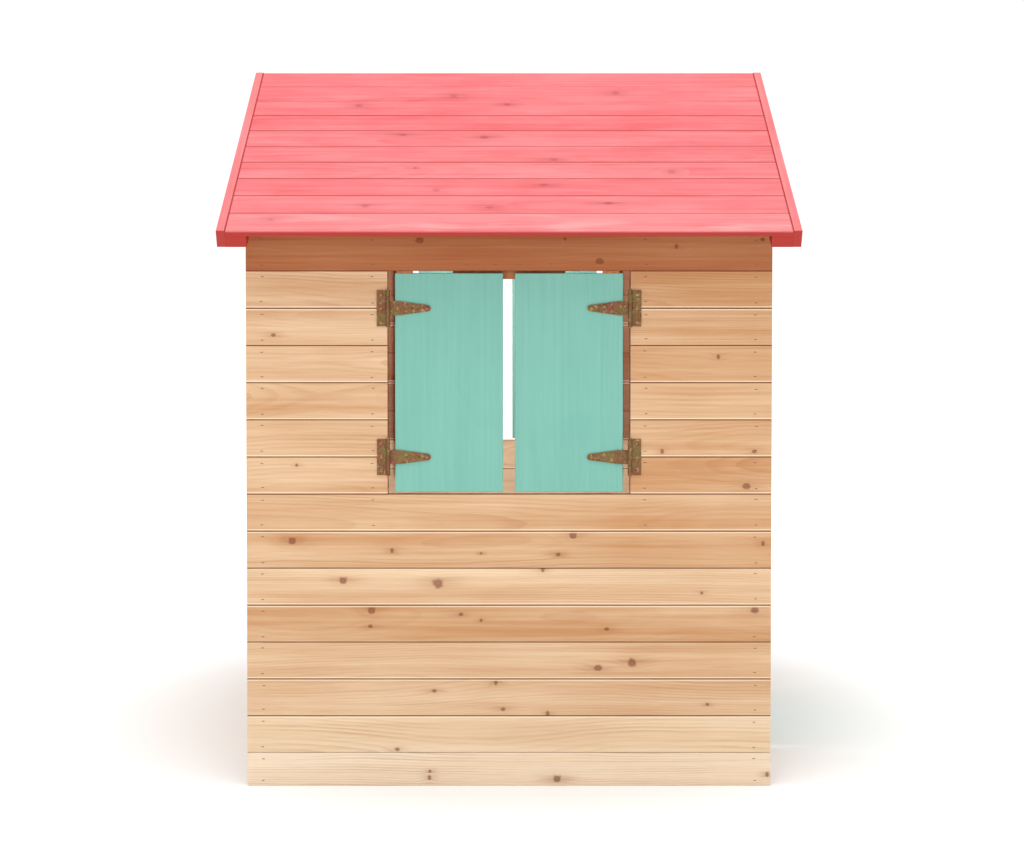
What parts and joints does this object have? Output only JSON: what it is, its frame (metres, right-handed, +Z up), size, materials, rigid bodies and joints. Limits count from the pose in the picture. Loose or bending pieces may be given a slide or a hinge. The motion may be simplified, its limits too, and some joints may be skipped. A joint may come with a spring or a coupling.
{
  "type": "playhouse",
  "caption": "Small wooden garden playhouse with plank walls, a gable roof, a plank door and windows closed by pairs of hinged shutters.",
  "frame": {"origin": "on the ground under the middle of the house", "axes": "+Z up, X along the ridge with the door at +X, Y across the house with the side seen in the picture at -Y"},
  "size_m": [1.048, 1.186, 1.3517],
  "materials": {
    "board_wood": "bare planed softwood boards with knots",
    "batten_wood": "bare planed softwood battens",
    "stained_roof_wood": "softwood with a pink-red stain, satin",
    "painted_wood": "turquoise water-based stain, satin, grain showing",
    "hinge_steel": "yellow passivated zinc plate",
    "screw_steel": "yellow passivated zinc plate"
  },
  "bodies": {
    "house": {"frame_screws": "screw_steel", "front_corner_battens": "batten_wood", "front_door_posts": "batten_wood", "front_door_side_boards": "board_wood", "front_door_stop": "batten_wood", "front_gable_boards": "board_wood", "front_rafters": "batten_wood", "front_threshold_board": "board_wood", "hinge_pins": "hinge_steel", "hinge_plate_screws": "screw_steel", "hinge_plates": "hinge_steel", "left_barge_boards": "stained_roof_wood", "left_corner_battens": "batten_wood", "left_lower_boards": "board_wood", "left_roof_battens": "stained_roof_wood", "left_roof_boards": "stained_roof_wood", "left_shutter_stop": "batten_wood", "left_top_board": "board_wood", "left_window_battens": "batten_wood", "left_window_boards": "board_wood", "rear_corner_battens": "batten_wood", "rear_gable_boards": "board_wood", "rear_middle_batten": "batten_wood", "rear_rafters": "batten_wood", "rear_wall_boards": "board_wood", "right_barge_boards": "stained_roof_wood", "right_corner_battens": "batten_wood", "right_lower_boards": "board_wood", "right_roof_battens": "stained_roof_wood", "right_roof_boards": "stained_roof_wood", "right_shutter_stop": "batten_wood", "right_top_board": "board_wood", "right_window_battens": "batten_wood", "right_window_boards": "board_wood"},
    "left_rear_shutter": {"left_rear_shutter_panel": "painted_wood", "left_rear_shutter_strap_screws": "screw_steel", "left_rear_shutter_straps": "hinge_steel"},
    "left_front_shutter": {"left_front_shutter_panel": "painted_wood", "left_front_shutter_strap_screws": "screw_steel", "left_front_shutter_straps": "hinge_steel"},
    "right_front_shutter": {"right_front_shutter_panel": "painted_wood", "right_front_shutter_strap_screws": "screw_steel", "right_front_shutter_straps": "hinge_steel"},
    "right_rear_shutter": {"right_rear_shutter_panel": "painted_wood", "right_rear_shutter_strap_screws": "screw_steel", "right_rear_shutter_straps": "hinge_steel"},
    "door": {"door_boards": "painted_wood", "door_knob": "painted_wood", "door_ledgers": "painted_wood", "door_strap_screws": "screw_steel", "door_straps": "hinge_steel"}
  },
  "joints": [
    {"name": "left_rear_shutter_hinge", "type": "hinge", "parent": "house", "child": "left_rear_shutter", "pos_m": [-0.2207, -0.524, 0.7413], "axis": [0, 0, -1], "range_deg": [0, 175]},
    {"name": "left_front_shutter_hinge", "type": "hinge", "parent": "house", "child": "left_front_shutter", "pos_m": [0.2207, -0.524, 0.7413], "axis": [0, 0, 1], "range_deg": [0, 175]},
    {"name": "right_front_shutter_hinge", "type": "hinge", "parent": "house", "child": "right_front_shutter", "pos_m": [0.2207, 0.524, 0.7413], "axis": [0, 0, -1], "range_deg": [0, 175]},
    {"name": "right_rear_shutter_hinge", "type": "hinge", "parent": "house", "child": "right_rear_shutter", "pos_m": [-0.2207, 0.524, 0.7413], "axis": [0, 0, 1], "range_deg": [0, 175]},
    {"name": "door_hinge", "type": "hinge", "parent": "house", "child": "door", "pos_m": [0.474, -0.2207, 0.5033], "axis": [0, 0, -1], "range_deg": [0, 165]}
  ]
}
